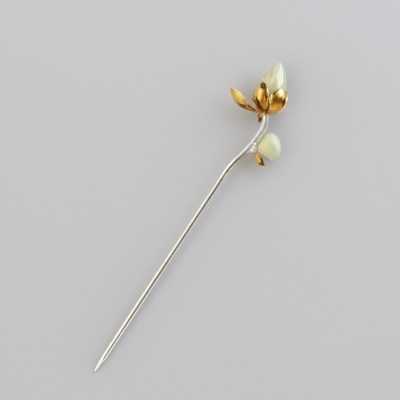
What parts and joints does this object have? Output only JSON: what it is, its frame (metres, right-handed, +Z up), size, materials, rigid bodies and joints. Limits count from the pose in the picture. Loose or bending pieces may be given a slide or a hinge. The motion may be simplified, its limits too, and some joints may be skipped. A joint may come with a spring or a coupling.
{
  "type": "hairpin",
  "caption": "Long tapered silver hairpin whose bent twig head carries gilt petals round a pale green stone bud and a smaller side bud with a gilt leaf.",
  "frame": {"origin": "middle of the outline of the lying hairpin, on the flat surface it rests on", "axes": "+X along the straight pin from its tip to the flower, +Z up from the surface"},
  "size_m": [0.1494, 0.0324, 0.0142],
  "materials": {
    "silver": "polished silver, satin on the twig",
    "gilt": "polished gold plate, darker in its folds",
    "jade": "smooth polished, slightly translucent"
  },
  "bodies": {
    "root": {"pin_and_twig": "silver", "outer_petals": "gilt", "inner_petals": "gilt", "main_bud": "jade", "side_sepal": "gilt", "side_bud": "jade"}
  },
  "joints": []
}
